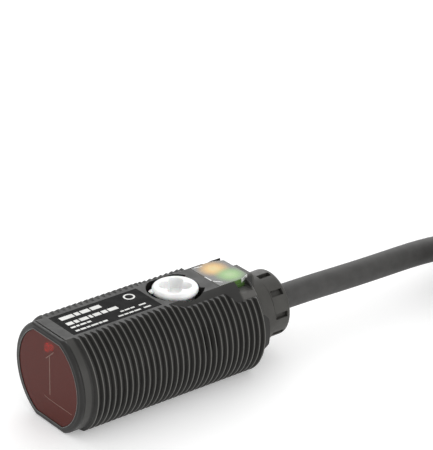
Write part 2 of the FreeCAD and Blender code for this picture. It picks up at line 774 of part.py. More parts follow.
def collar_hood():
    """The hood that closes the rear of the window, with rounded shoulders."""
    block = box("collar_hood", -2.4, 2.4, d.tab_end + 0.05, d.hood_rear, 4.5, d.hood_top)
    DOCUMENT.recompute()
    rounded = DOCUMENT.addObject("Part::Fillet", "collar_hood_rounded")
    rounded.Base = block
    rounded.Edges = [(number, 0.8, 0.8) for number, edge in enumerate(block.Shape.Edges, start=1)
                     if edge.CenterOfMass.z > d.hood_top.number - 0.001 and abs(edge.CenterOfMass.x) > 2]
    return rounded


def rear_collar():
    disc = flatted_disc("collar_disc", d.bore_radius - 0.1, -d.bore_floor + 0.1, 5.75,
                        d.disc_front, d.case_end - 0.05)
    neck = rod_y("collar_neck", d.collar_radius, d.disc_front + 0.3, d.collar_end, 0, -d.cable_drop)
    spigot = rod_y("collar_spigot", 3.9, d.collar_end - 1, 39.6, 0, -d.cable_drop)
    bore = rod_y("collar_bore", d.gland_bore, d.disc_front - 1, 41, 0, -d.cable_drop)
    finish(cut("collar_cut", fuse("collar_joined", disc, neck, spigot, collar_hood()), bore), "rear_collar")


def clamp_cap():
    cap = turned("cap_body", (
        (4.0, d.collar_end + 0.05),
        (4.95, d.collar_end + 0.05),
        (4.95, d.cap_front),
        (d.cap_radius, d.cap_front),
        (d.cap_radius, d.overall_length),
        (d.cable_radius + 0.1, d.overall_length),
        (d.cable_radius + 0.1, 39.7),
        (4.0, 39.7),
    ))
    rim_length = 2 * math.pi * d.cap_radius.number
    rounded = round_edges(cap, "cap_rim", cap.Tip, d.cap_round,
                          lambda edge: abs(edge.CenterOfMass.y - d.overall_length.number) < 0.001
                          and abs(edge.Length - rim_length) < 0.01)
    DOCUMENT.recompute()

    slot = sketch_on(cap, "cap_slot", "XY_Plane", d.cap_radius + 0.5)
    polygon(slot, ((-0.48, d.cap_front + 0.15), (0.48, d.cap_front + 0.15), (0.48, d.cap_front + 2.3),
                   (-0.48, d.cap_front + 2.3)))
    slot_cut = pocket(cap, "cap_slot_cut", slot, 1.15)
    DOCUMENT.recompute()
    if slot_cut.Shape.Volume > rounded.Shape.Volume - 0.2:
        raise RuntimeError("the clamp cap's slot cut nothing")

    ring = cap.newObject("PartDesign::PolarPattern", "cap_slots")
    ring.Originals = [slot_cut]
    y_axis = [item for item in cap.Origin.OriginFeatures if item.Role == "Y_Axis"][0]
    ring.Axis = (y_axis, [""])
    ring.Angle = 360
    bind(ring, "Occurrences", d.slot_count)
    cap.Tip = ring
    finish(cap, "clamp_cap", d.cable_drop)
    cap.Placement.Rotation = Rotation(Vector(0, 1, 0), d.cap_turn.number)


def cable_seal():
    seal = turned("seal_body", (
        (d.cable_radius, 36.2),
        (3.0, 36.2),
        (3.0, 39.5),
        (d.cable_radius, 39.5),
    ))
    finish(seal, "cable_seal", d.cable_drop)


def strain_relief_ring():
    ring = turned("strain_ring_body", (
        (d.cable_radius, d.cable_start + 0.2),
        (2.9, d.cable_start + 0.2),
        (2.9, d.cable_start + 1.9),
        (d.cable_radius, d.cable_start + 1.9),
    ))
    finish(ring, "strain_relief_ring", d.cable_drop)


def inner_conductors():
    """Four insulated conductors from the cable's end to the pads under the main board."""
    axis = -d.cable_drop.number
    start = d.cable_start.number
    places = ((-0.6, 0.5, -1.1), (0.6, 0.5, 1.1), (-0.6, -0.6, -3.3), (0.6, -0.6, 3.3))
    for colour, (x, rise, pad_x) in zip(LEADS, places):
        points = ((x, start, axis + rise), (x, start - 1.2, axis + rise), (pad_x, start - 3.8, -0.15),
                  (pad_x, start - 5.2, -0.15))
        name = "conductor_" + colour
        finish(wire_solid(name, points, d.conductor_radius.number), name)


def solder_joints():
    rear = d.cable_start - 5.2
    joints = [box("joint_%d" % index, x - 0.5, x + 0.5, rear - 0.8, rear, -0.4, d.board_under)
              for index, x in enumerate((-3.3, -1.1, 1.1, 3.3))]
    finish(group("joint_set", joints), "solder_joints")


# ---------------------------------------------------------------- the free cable
# The cable's route and the coil are in the object's own frame: z = 0 is the surface below.

def cable_route():
    """The cable leaves level with its gland, sinks to the surface and runs into the coil."""
    start = d.cable_start.number - MIDDLE.number
    level = d.flat_height.number - d.cable_drop.number
    floor = d.cable_radius.number
    return (
        (0.0, start, level),
        (0.0, 25.0, level),
        (0.0, 37.5, level - 0.6),
        (0.05, 54.0, level - 0.8),
        (-1.35, 62.4, floor + 1.1),
        (-4.58, 69.61, floor),
    )


def cable():
    thing = wire_solid("cable", cable_route(), d.cable_radius.number)
    SUBPARTS.append(thing)


def around_coil(radius, degrees, z):
    angle = math.radians(degrees)
    return (d.coil_x.number + radius * math.cos(angle), d.coil_y.number + radius * math.sin(angle), z)


def cable_coil():
    """The outer shape of the wound cable, with a shallow groove under it for the tie."""
    ring = body("coil_ring")
    section = sketch_on(ring, "coil_section", "XZ_Plane")
    polygon(section, ((d.coil_inner, 0), (d.coil_outer, 0), (d.coil_outer, d.coil_height),
                      (d.coil_inner, d.coil_height)))
    turn = revolve(ring, "coil_turn", section)
    round_edges(ring, "coil_edges", turn, 1.8, lambda edge: edge.Curve.TypeId == "Part::GeomCircle")
    put(ring, d.coil_x, d.coil_y, 0)
    groove = box("coil_groove", d.coil_x + d.coil_inner - 1, d.coil_x + d.coil_outer + 1,
                 d.coil_y - d.tie_width / 2 - 0.1, d.coil_y + d.tie_width / 2 + 0.1, -1, d.tie_thick)
    coil = cut("coil_cut", ring, groove)
    coil.Label = "cable_coil"
    SUBPARTS.append(coil)


def coil_tie():
    gap = 0.1
    thick = d.tie_thick
    near = d.coil_x + d.coil_inner - 3 * gap
    far = d.coil_x + d.coil_outer + gap
    left = d.coil_y - d.tie_width / 2
    right = d.coil_y + d.tie_width / 2
    outer = box("tie_outer", near - thick, far + thick, left, right, 0, d.coil_height + gap + thick)
    inner = box("tie_inner", near, far, left - 1, right + 1, thick, d.coil_height + gap)
    tie = cut("tie_band", outer, inner)
    tie.Label = "coil_tie"
    SUBPARTS.append(tie)


def cable_tail():
    """The last of the jacketed cable, lying on the coil."""
    level = d.coil_height.number + d.cable_radius.number
    points = [around_coil(24.0, degrees, level) for degrees in (165, 150, 135, 120, 105)]
    thing = wire_solid("cable_tail", points, d.cable_radius.number)
    SUBPARTS.append(thing)


def stripped_leads():
    """Four leads that fan out of the tail and lie on the coil, with bare copper tips."""
    tail_level = d.coil_height.number + d.cable_radius.number
    rest_level = d.coil_height.number + d.lead_radius.number + 0.02
    start = ((23.35, 0.65), (24.65, 0.65), (23.35, -0.65), (24.65, -0.65))
    rest = (22.5, 25.5, 20.6, 27.4)
    tips = []
    for colour, (radius, rise), far_radius in zip(LEADS, start, rest):
        points = [around_coil(radius, 105, tail_level + rise), around_coil(radius, 98, tail_level + rise)]
        points += [around_coil(far_radius, degrees, rest_level) for degrees in (81, 67, 53, 39, 29)]
        name = "lead_" + colour
        thing = wire_solid(name, points, d.lead_radius.number)
        SUBPARTS.append(thing)
        end = Vector(*points[-1])
        direction = (end - Vector(*points[-2])).normalize()
        tips.append(Part.makeCylinder(0.35, 4.0, end, direction))
    bare = DOCUMENT.addObject("Part::Feature", "lead_tips")
    bare.Shape = Part.makeCompound(tips)
    SUBPARTS.append(bare)


# ---------------------------------------------------------------- build, check, write

def build():
    threaded_case()
    nameplate()
    front_bezel()
    front_lens()
    lens_gasket()
    optical_block()
    eye_lens("emitter_lens", -1)
    eye_lens("receiver_lens", 1)
    light_shield()
    optics_board()
    emitter_led()
    receiver_ic()
    main_board()
    board_chassis()
    board_link_pins()
    shield_can()
    control_ic()
    output_transistors()
    surge_diode()
    capacitors()
    resistors()
    trimmer_body()
    trimmer_rotor()
    adjuster_knob()
    adjuster_seal()
    indicator_window()
    lamp("output_led_orange", -1)
    lamp("stability_led_green", 1)
    rear_collar()
    clamp_cap()
    cable_seal()
    strain_relief_ring()
    inner_conductors()
    solder_joints()
    cable()
    cable_coil()
    coil_tie()
    cable_tail()
    stripped_leads()


def check():
    DOCUMENT.recompute()
    failed = [thing.Name for thing in DOCUMENT.Objects if {"Invalid", "Error"} & set(thing.State)]
    if failed:
        raise RuntimeError("these objects failed: " + ", ".join(failed))
    for thing in SUBPARTS:
        if thing.Shape.isNull() or not thing.Shape.isValid() or not thing.Shape.Solids:
            raise RuntimeError("bad shape: " + thing.Label)


def write():
    os.makedirs("parts", exist_ok=True)
    for thing in SUBPARTS:
        thing.Shape.exportStep("parts/%s.step" % thing.Label)
    print("wrote %d parts" % len(SUBPARTS))


build()
check()
write()
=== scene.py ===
import json
import math

import bmesh
import bpy
from mathutils import Matrix, Vector


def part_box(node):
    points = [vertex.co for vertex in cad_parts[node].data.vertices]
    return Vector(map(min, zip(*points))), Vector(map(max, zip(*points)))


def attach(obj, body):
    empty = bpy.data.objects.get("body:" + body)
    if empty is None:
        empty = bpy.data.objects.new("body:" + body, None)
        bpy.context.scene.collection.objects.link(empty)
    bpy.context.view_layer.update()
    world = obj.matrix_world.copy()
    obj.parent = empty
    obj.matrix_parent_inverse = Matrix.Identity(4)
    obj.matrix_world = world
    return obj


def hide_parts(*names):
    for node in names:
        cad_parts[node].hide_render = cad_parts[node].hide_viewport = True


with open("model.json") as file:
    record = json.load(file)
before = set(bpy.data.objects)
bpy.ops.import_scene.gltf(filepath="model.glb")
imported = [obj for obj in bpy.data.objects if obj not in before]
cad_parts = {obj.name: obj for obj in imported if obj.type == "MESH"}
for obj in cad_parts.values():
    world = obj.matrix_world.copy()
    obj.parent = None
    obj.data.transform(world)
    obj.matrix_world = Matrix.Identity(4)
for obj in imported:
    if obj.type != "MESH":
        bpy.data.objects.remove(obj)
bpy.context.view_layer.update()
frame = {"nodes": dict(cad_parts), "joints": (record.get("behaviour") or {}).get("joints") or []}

MM = 0.001
SENSOR = "sensor"
ADJUSTER = "adjuster"
NODES = frame["nodes"]

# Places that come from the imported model
BEZEL_LOW, BEZEL_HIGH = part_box("front_bezel")
LENS_LOW, LENS_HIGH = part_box("front_lens")
COIL_LOW, COIL_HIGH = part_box("cable_coil")
TIE_LOW, TIE_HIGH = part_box("coil_tie")
LABEL_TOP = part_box("nameplate")[1].z
KNOB_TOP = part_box("adjuster_knob")[1].z
WINDOW_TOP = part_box("indicator_window")[1].z
FACE_Y = BEZEL_LOW.y
AXIS_Z = (BEZEL_LOW.z + BEZEL_HIGH.z) / 2
COIL_CENTRE = (COIL_LOW + COIL_HIGH) / 2


def mm(x, y, z):
    """A point of the row frame, given in millimetres."""
    return Vector((x, y, z)) * MM


def smooth(value):
    """0 below 0, 1 above 1, and a soft step between."""
    value = max(0.0, min(1.0, value))
    return value * value * (3 - 2 * value)


# ---------------------------------------------------------------- camera

def camera():
    """Looks down on the sensing face from the front right; azimuth 0 would look along +Y."""
    azimuth = math.radians(52.637)
    elevation = math.radians(25.607)
    roll = math.radians(-0.103)
    distance = 385.99 * MM
    target = mm(-0.519, 10.544, 22.598)
    back = Vector((
        math.cos(elevation) * math.sin(azimuth),
        -math.cos(elevation) * math.cos(azimuth),
        math.sin(elevation)))
    level = Vector((0, 0, 1)).cross(back).normalized()
    upright = back.cross(level)
    right = level * math.cos(roll) + upright * math.sin(roll)
    up = upright * math.cos(roll) - level * math.sin(roll)
    data = bpy.data.cameras.new("photo_camera")
    data.sensor_fit = "HORIZONTAL"
    data.sensor_width = 36.0
    data.lens = 218.2
    data.clip_start = 0.01
    data.clip_end = 20.0
    thing = bpy.data.objects.new("photo_camera", data)
    bpy.context.scene.collection.objects.link(thing)
    thing.matrix_world = Matrix.Translation(target + back * distance) @ Matrix((
        (right.x, up.x, back.x, 0),
        (right.y, up.y, back.y, 0),
        (right.z, up.z, back.z, 0),
        (0, 0, 0, 1)))
    bpy.context.scene.camera = thing


camera()


# ---------------------------------------------------------------- materials

class Shader:
    """A principled material, and the nodes that vary it over the surface."""

    def __init__(self, name, colour, roughness, **settings):
        self.material = bpy.data.materials.new(name)
        self.material.use_nodes = True
        self.tree = self.material.node_tree
        self.principled = self.tree.nodes["Principled BSDF"]
        self.inputs = self.principled.inputs
        self.inputs["Base Color"].default_value = (*colour, 1)
        self.inputs["Roughness"].default_value = roughness
        for key, value in settings.items():
            self.inputs[key.replace("_", " ")].default_value = value
        self.colour = colour
        self.roughness = roughness
        self.place = self.tree.nodes.new("ShaderNodeTexCoord").outputs["Object"]
        self.height = None

    def node(self, kind, **settings):
        made = self.tree.nodes.new(kind)
        for key, value in settings.items():
            setattr(made, key, value)
        return made

    def link(self, source, target):
        self.tree.links.new(source, target)

    def noise(self, size, detail=3.0, stretch=(1, 1, 1)):
        """Noise whose features are about size millimetres, as a value from 0 to 1."""
        scaled = self.node("ShaderNodeVectorMath", operation="MULTIPLY")
        scaled.inputs[1].default_value = [1 / (size * MM * part) for part in stretch]
        self.link(self.place, scaled.inputs[0])
        made = self.node("ShaderNodeTexNoise")
        made.inputs["Scale"].default_value = 1.0
        made.inputs["Detail"].default_value = detail
        self.link(scaled.outputs[0], made.inputs["Vector"])
        return made.outputs["Fac"]

    def mix_colours(self, factor, low, high):
        mixed = self.node("ShaderNodeMix", data_type="RGBA")
        self.link(factor, mixed.inputs["Factor"])
        mixed.inputs["A"].default_value = (*low, 1)
        mixed.inputs["B"].default_value = (*high, 1)
        return mixed.outputs["Result"]

    def spread(self, source, low, high, start=0.3, end=0.7):
        """Maps a value from start..end to low..high."""
        mapped = self.node("ShaderNodeMapRange")
        mapped.interpolation_type = "SMOOTHSTEP"
        for name, value in (("From Min", start), ("From Max", end), ("To Min", low), ("To Max", high)):
            mapped.inputs[name].default_value = value
        self.link(source, mapped.inputs["Value"])
        return mapped.outputs["Result"]

    def vary_colour(self, size, amount):
        """Makes the colour lighter and darker by that share, in patches of that size."""
        low = [part * (1 - amount) for part in self.colour]
        high = [min(1.0, part * (1 + amount)) for part in self.colour]
        factor = self.spread(self.noise(size), 0, 1)
        self.link(self.mix_colours(factor, low, high), self.inputs["Base Color"])
        return self

    def vary_roughness(self, size, amount):
        rough = self.spread(self.noise(size), self.roughness - amount, self.roughness + amount)
        self.link(rough, self.inputs["Roughness"])
        return self

    def tint(self, factor, colour):
        """Mixes the base colour towards another one by a factor from 0 to 1."""
        socket = self.inputs["Base Color"]
        before = socket.links[0].from_socket
        mixed = self.mix_colours(factor, self.colour, colour)
        self.link(before, mixed.node.inputs["A"])
        self.link(mixed, socket)
        return self

    def from_axis(self):
        """Distance from the barrel's axis in metres."""
        flat = self.node("ShaderNodeVectorMath", operation="MULTIPLY_ADD")
        flat.inputs[1].default_value = (1, 0, 1)
        flat.inputs[2].default_value = (0, 0, -AXIS_Z)
        self.link(self.place, flat.inputs[0])
        length = self.node("ShaderNodeVectorMath", operation="LENGTH")
        self.link(flat.outputs[0], length.inputs[0])
        return length.outputs["Value"]

    def band(self, axis, low, high, soft):
        """1 between two heights or places along an axis in metres, fading to 0 over the soft margin."""
        across = self.node("ShaderNodeSeparateXYZ")
        self.link(self.place, across.inputs[0])
        rising = self.spread(across.outputs[axis], 0, 1, low - soft, low)
        return self.product(rising, self.spread(across.outputs[axis], 1, 0, high, high + soft))

    def product(self, first, second):
        both = self.node("ShaderNodeMath", operation="MULTIPLY")
        self.link(first, both.inputs[0])
        self.link(second, both.inputs[1])
        return both.outputs[0]

    def glow(self, spots):
        """Soft coloured light inside the material, as (centre, reach in millimetres, colour, heart)."""
        colour = None
        for centre, reach, edge, heart in spots:
            away = self.node("ShaderNodeVectorMath", operation="DISTANCE")
            away.inputs[1].default_value = centre
            self.link(self.place, away.inputs[0])
            patch = self.noise(0.35, 3.0)
            ragged = self.node("ShaderNodeMath", operation="MULTIPLY_ADD")
            ragged.inputs[1].default_value = 0.5 * MM
            self.link(patch, ragged.inputs[0])
            self.link(away.outputs["Value"], ragged.inputs[2])
            for tint, start, end in ((edge, 0.35, 1.15), (heart, 0.1, 0.62)):
                share = self.spread(ragged.outputs[0], 1, 0, start * reach * MM, end * reach * MM)
                mixed = self.mix_colours(share, (0, 0, 0), tint)
                if colour is not None:
                    self.link(colour, mixed.node.inputs["A"])
                colour = mixed
        self.link(colour, self.inputs["Emission Color"])
        self.inputs["Emission Strength"].default_value = 1.0
        return self

    def bump(self, source, depth):
        """Raises the surface by up to depth millimetres where source is 1."""
        made = self.node("ShaderNodeBump")
        made.inputs["Strength"].default_value = 1.0
        made.inputs["Distance"].default_value = depth * MM
        self.link(source, made.inputs["Height"])
        if self.height is not None:
            self.link(self.height, made.inputs["Normal"])
        self.height = made.outputs["Normal"]
        self.link(self.height, self.inputs["Normal"])
        return self


def moulded(name, colour, roughness=0.5, grain=0.12, depth=0.004, **settings):
    """Moulded plastic with a spark-eroded grain, faint flow marks and handled, uneven gloss."""
    made = Shader(name, colour, roughness, **settings)
    made.vary_colour(2.5, 0.10)
    made.vary_roughness(1.5, 0.05)
    made.bump(made.noise(grain, 4.0), depth)
    made.bump(made.noise(3.0, 2.0), 0.01)
    return made.material


def soft_rubber(name, colour, roughness=0.7):
    made = Shader(name, colour, roughness)
    made.vary_colour(1.5, 0.12)
    made.bump(made.noise(0.25, 4.0), 0.01)
    return made.material


def clear_plastic(name, colour, roughness, transmission=1.0, ior=1.49):
    """Transparent moulded plastic with faint ripples; below 1, part of its light is scattered."""
    made = Shader(name, colour, roughness, Transmission_Weight=transmission, IOR=ior)
    made.vary_roughness(1.2, 0.02)
    made.bump(made.noise(1.4, 2.0), 0.004)
    return made


def metal(name, colour, roughness, stretch=(1, 1, 1)):
    made = Shader(name, colour, roughness, Metallic=1.0)
    made.vary_colour(0.8, 0.08)
    made.vary_roughness(0.5, 0.06)
    made.bump(made.noise(0.08, 3.0, stretch), 0.003)
    return made.material


def circuit_board(name):
    """Green solder mask over copper traces that show as slightly raised, lighter bands."""
    made = Shader(name, (0.02, 0.11, 0.05), 0.35, Coat_Weight=0.3)
    wave = made.node("ShaderNodeTexWave", wave_type="BANDS", bands_direction="X")
    wave.inputs["Scale"].default_value = 260.0
    wave.inputs["Distortion"].default_value = 6.0
    made.link(made.place, wave.inputs["Vector"])
    traces = made.spread(wave.outputs["Fac"], 0, 1, 0.55, 0.62)
    made.link(made.mix_colours(traces, (0.015, 0.09, 0.04), (0.04, 0.17, 0.07)), made.inputs["Base Color"])
    return made.bump(traces, 0.03).material


def lamp(name, colour, strength):
    """A translucent coloured lamp, brighter at its heart."""
    made = Shader(name, colour, 0.3, Transmission_Weight=0.4, Emission_Strength=strength)
    pale = [min(1.0, 0.35 + part) for part in colour]
    blend = made.spread(made.noise(0.8), 0.2, 0.8)
    made.link(made.mix_colours(blend, colour, pale), made.inputs["Emission Color"])
    made.vary_colour(0.8, 0.1)
    return made.material


def lamp_glow(node, lean):
    """Where a lamp's light shows: in the window's plate, over its dome and leaning that far rearwards."""
    low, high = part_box(node)
    return ((low.x + high.x) / 2, (low.y + high.y) / 2 + lean * MM, WINDOW_TOP - 0.2 * MM)


# Where the case's painted light goes: highlights on the crests, a lit band on the plain ring in front and a
# lit ledge at the rear.
CREST_HIGHLIGHT_FROM, CREST_HIGHLIGHT_TO = 8.80 * MM, 8.91 * MM
FLATS_FROM, FLATS_TO = 8.1 * MM, 8.35 * MM
LIT_RING_LENGTH = 1.75 * MM
LIT_LEDGE_FRONT, LIT_LEDGE_REAR = 30.9 * MM, 33.4 * MM
LIT_LEDGE_LOW, LIT_LEDGE_HIGH = 5.6 * MM, 6.4 * MM


def threaded_plastic(name, colour, crest_highlight_colour, lit_ring_colour, lit_ledge_colour):
    """The case's moulding with painted light: paler crests as painted highlights, and a lighter ring in
    front and ledge at the rear where light falls on them.
    """
    made = Shader(name, colour, 0.45, Specular_IOR_Level=0.28)
    made.vary_colour(2.5, 0.10)
    # Painted highlight: the crests are made paler by their distance from the barrel's axis.
    made.tint(made.spread(made.from_axis(), 0, 1, CREST_HIGHLIGHT_FROM, CREST_HIGHLIGHT_TO), crest_highlight_colour)
    # Painted light: the plain ring in front, off the flats, is made lighter as if lit from the side.
    off_flats = made.spread(made.from_axis(), 0, 1, FLATS_FROM, FLATS_TO)
    ring = made.band("Y", FACE_Y, FACE_Y + LIT_RING_LENGTH, 0.25 * MM)
    made.tint(made.product(ring, off_flats), lit_ring_colour)
    # Painted light: the ledge at the rear is made lighter where the light from above falls on it.
    lit_ledge_height = made.band("Z", AXIS_Z + LIT_LEDGE_LOW, AXIS_Z + LIT_LEDGE_HIGH, 0.2 * MM)
    lit_ledge_place = made.band("Y", FACE_Y + LIT_LEDGE_FRONT, FACE_Y + LIT_LEDGE_REAR, 0.5 * MM)
    made.tint(made.product(lit_ledge_place, lit_ledge_height), lit_ledge_colour)
    made.vary_roughness(1.5, 0.05)
    made.bump(made.noise(0.14, 4.0), 0.006)
    made.bump(made.noise(3.0, 2.0), 0.01)
    return made.material


# Base colour, then the painted crest highlight, the painted light on the front ring and the painted light on
# the rear ledge.
case_plastic = threaded_plastic("case_plastic", (0.021, 0.0205, 0.019), (0.11, 0.108, 0.10),
                                (0.042, 0.041, 0.038), (0.085, 0.083, 0.078))
collar_plastic = moulded("collar_plastic", (0.052, 0.0505, 0.046), 0.45, grain=0.12, depth=0.005,
                         Specular_IOR_Level=0.3)
bezel_plastic = moulded("bezel_plastic", (0.020, 0.0195, 0.0185), 0.36, grain=0.3, depth=0.003,
                        Specular_IOR_Level=0.22)
black_plastic = moulded("black_plastic", (0.02, 0.02, 0.02), 0.5)
white_plastic = moulded("white_plastic", (0.86, 0.865, 0.86), 0.35, grain=0.3, depth=0.002,
                        Subsurface_Weight=0.1, Subsurface_Scale=0.0005)
label_film = moulded("label_film", (0.008, 0.008, 0.008), 0.5, grain=0.08, depth=0.001,
                     Specular_IOR_Level=0.03)
label_ink = moulded("label_ink", (0.72, 0.72, 0.70), 0.5, grain=0.1, depth=0.002,
                    Specular_IOR_Level=0.2)
chip_plastic = moulded("chip_plastic", (0.018, 0.018, 0.02), 0.55, grain=0.08, depth=0.004)
trimmer_plastic = moulded("trimmer_plastic", (0.03, 0.08, 0.26), 0.4)
# Pale grey on the black bezel's lip: a painted highlight along the lens's edge.
lip_highlight_plastic = moulded("lip_highlight_plastic", (0.15, 0.148, 0.14), 0.3, grain=0.1, depth=0.002)
rib_plastic = moulded("rib_plastic", (0.16, 0.082, 0.062), 0.4, grain=0.1, depth=0.002,
                      Specular_IOR_Level=0.2)
tie_plastic = moulded("tie_plastic", (0.015, 0.015, 0.016), 0.35, grain=0.3, depth=0.004)
seal_rubber = soft_rubber("seal_rubber", (0.02, 0.02, 0.02))
cable_jacket = soft_rubber("cable_jacket", (0.044, 0.043, 0.041), 0.6)
red_filter = clear_plastic("red_filter", (0.112, 0.013, 0.006), 0.10, transmission=0.35,
                           ior=1.2).material
eye_plastic = clear_plastic("eye_plastic", (0.95, 0.96, 0.97), 0.03).material
window_plastic = clear_plastic("window_plastic", (0.055, 0.054, 0.050), 0.12, transmission=0.5).glow((
    (lamp_glow("output_led_orange", -0.2), 2.7, (0.54, 0.28, 0.005), (0.46, 0.36, 0.09)),
    (lamp_glow("stability_led_green", 0.6), 2.7, (0.10, 0.29, 0.02), (0.20, 0.34, 0.10)),
)).material
# Near-white plastic for strips that paint glints, the highlights along the window's edges.
glint_plastic = clear_plastic("glint_plastic", (0.85, 0.86, 0.85), 0.15, transmission=0.2).material
shield_metal = metal("shield_metal", (0.62, 0.62, 0.60), 0.35, (6, 1, 1))
pin_brass = metal("pin_brass", (0.78, 0.62, 0.32), 0.3)
can_metal = metal("can_metal", (0.72, 0.72, 0.74), 0.3)
solder = metal("solder", (0.66, 0.66, 0.67), 0.25)
bare_copper = metal("bare_copper", (0.86, 0.47, 0.28), 0.3)
board_green = circuit_board("board_green")
orange_lamp = lamp("orange_lamp", (0.95, 0.42, 0.04), 0.8)
green_lamp = lamp("green_lamp", (0.18, 0.72, 0.12), 0.8)
red_light = lamp("red_light", (0.85, 0.06, 0.02), 7.0)

WIRE_COLOURS = {
    "brown": (0.10, 0.035, 0.015),
    "blue": (0.02, 0.08, 0.42),
    "black": (0.012, 0.012, 0.012),
    "pink": (0.75, 0.27, 0.36),
}
wire_plastic = {name: moulded("wire_" + name, colour, 0.35, grain=0.3, depth=0.004)
                for name, colour in WIRE_COLOURS.items()}

NODE_MATERIALS = {
    "threaded_case": case_plastic,
    "nameplate": label_film,
    "front_bezel": bezel_plastic,
    "front_lens": red_filter,
    "lens_gasket": seal_rubber,
    "optical_block": black_plastic,
    "emitter_lens": eye_plastic,
    "receiver_lens": eye_plastic,
    "light_shield": shield_metal,
    "optics_board": board_green,
    "emitter_led": eye_plastic,
    "receiver_ic": chip_plastic,
    "main_board": board_green,
    "board_chassis": black_plastic,
    "board_link_pins": pin_brass,
    "shield_can": shield_metal,
    "control_ic": chip_plastic,
    "output_transistors": chip_plastic,
    "surge_diode": chip_plastic,
    "capacitors": can_metal,
    "resistors": chip_plastic,
    "trimmer_body": trimmer_plastic,
    "trimmer_rotor": white_plastic,
    "adjuster_knob": white_plastic,
    "adjuster_seal": seal_rubber,
    "indicator_window": window_plastic,
    "output_led_orange": orange_lamp,
    "stability_led_green": green_lamp,
    "rear_collar": collar_plastic,
    "clamp_cap": collar_plastic,
    "cable_seal": seal_rubber,
    "strain_relief_ring": black_plastic,
    "solder_joints": solder,
    "cable": cable_jacket,
    "cable_coil": cable_jacket,
    "cable_tail": cable_jacket,
    "coil_tie": tie_plastic,
    "lead_tips": bare_copper,
}


def dress(thing, material):
    """Gives a piece one material in place of those that it came with."""
    thing.data.materials.clear()
    thing.data.materials.append(material)


def dress_nodes():
    for name, material in NODE_MATERIALS.items():
        dress(NODES[name], material)
    for colour, material in wire_plastic.items():
        dress(NODES["conductor_" + colour], material)
        dress(NODES["lead_" + colour], material)


dress_nodes()


# ---------------------------------------------------------------- mesh helpers

def circle(radius, segments):
    """Points (x, y) round a circle."""
    turns = [2 * math.pi * k / segments for k in range(segments)]
    return [(radius * math.cos(turn), radius * math.sin(turn)) for turn in turns]


def piece(name, mesh, body, material):
    thing = bpy.data.objects.new(name, mesh)
    bpy.context.scene.collection.objects.link(thing)
    dress(thing, material)
    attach(thing, body)
    return thing


def mesh_of(name, points, faces):
    mesh = bpy.data.meshes.new(name)
    mesh.from_pydata(points, [], faces)
    mesh.validate()
    for face in mesh.polygons:
        face.use_smooth = True
    return mesh


def ring_mesh(name, rows):
    """Faces between loops of equal length, the last of which joins the first."""
    count = len(rows[0])
    points = [point for row in rows for point in row]
    faces = []
    for row in range(len(rows)):
        below = (row + 1) % len(rows)
        for index in range(count):
            after = (index + 1) % count
            faces.append((row * count + index, row * count + after,
                          below * count + after, below * count + index))
    return mesh_of(name, points, faces)


def finished(mesh, name):
    """Turns a bmesh into a mesh and frees it."""
    data = bpy.data.meshes.new(name)
    mesh.to_mesh(data)
    mesh.free()
    return data


def soften(thing, width, segments, angle=30):
    """Rounds the edges of a piece by a width in millimetres, where they turn by more than the angle."""
    bevel = thing.modifiers.new("edges", "BEVEL")
    bevel.width = width * MM
    bevel.segments = segments
    bevel.angle_limit = math.radians(angle)


def tube(name, points, radius, body, material):
    """A smooth round cord through a NURBS spline whose control points are given."""
    curve = bpy.data.curves.new(name, "CURVE")
    curve.dimensions = "3D"
    spline = curve.splines.new("NURBS")
    spline.points.add(len(points) - 1)
    for place, point in zip(spline.points, points):
        place.co = (*point, 1)
    spline.order_u = 3
    spline.use_endpoint_u = True
    spline.resolution_u = 6
    curve.bevel_depth = radius
    curve.bevel_resolution = 6
    curve.use_fill_caps = True
    return piece(name, curve, body, material)


# ---------------------------------------------------------------- cable

CABLE_DIAMETER = 4 * MM
LEAD_DIAMETER = 1 * MM
LAYER_RISE = 3.465 * MM
POINTS_PER_TURN = 18
JOINS_AT = 204  # degrees round the coil
TAIL_RADIUS = 24 * MM
TAIL_LEVEL = COIL_HIGH.z + CABLE_DIAMETER / 2
TAIL_END = 105
COIL_LAYERS = ((28, 24, 20, 16), (18, 22, 26), (28, 24, 20, 16), (18, 22, 26))
CROSSES_AT = 0.78


def around_coil(radius, degrees, z):
    angle = math.radians(degrees)
    return Vector((COIL_CENTRE.x + radius * math.cos(angle), COIL_CENTRE.y + radius * math.sin(angle), z))


def cable_points():
    """The route from the gland to the coil, then its nested layers of turns and the tail on top."""
    route = [mm(0.0, 13.1, 7.2), mm(0.0, 25.0, 7.2), mm(0.0, 37.5, 6.6), mm(0.05, 54.0, 6.4),
             mm(-1.35, 62.4, 3.1)]
    turns = [(radius * MM, CABLE_DIAMETER / 2 + LAYER_RISE * layer)
             for layer, radii in enumerate(COIL_LAYERS) for radius in radii]
    turns.append((TAIL_RADIUS, TAIL_LEVEL))
    coil = []
    for (radius, z), (next_radius, next_z) in zip(turns, turns[1:]):
        for step in range(POINTS_PER_TURN):
            share = step / POINTS_PER_TURN
            across = smooth((share - CROSSES_AT) / (1 - CROSSES_AT))
            coil.append(around_coil(radius + (next_radius - radius) * across, JOINS_AT - 360 * share,
                                    z + (next_z - z) * across))
    tail = [around_coil(TAIL_RADIUS, degrees, TAIL_LEVEL)
            for degrees in (JOINS_AT, 184, 165, 145, 125, TAIL_END)]
    return route + coil + tail


def lead_points():
    """Where the four stripped leads run: out of the jacket, down onto the coil and along it."""
    level = COIL_HIGH.z + LEAD_DIAMETER / 2 + 0.02 * MM
    starts = ((23.35, 0.65), (24.65, 0.65), (23.35, -0.65), (24.65, -0.65))
    rests = (22.5, 25.5, 20.6, 27.4)
    runs = {}
    for colour, (radius, rise), rest in zip(WIRE_COLOURS, starts, rests):
        points = [around_coil(radius * MM, degrees, TAIL_LEVEL + rise * MM) for degrees in (TAIL_END, 98)]
        points += [around_coil(rest * MM, degrees, level) for degrees in (81, 67, 53, 39, 29)]
        runs[colour] = points
    return runs


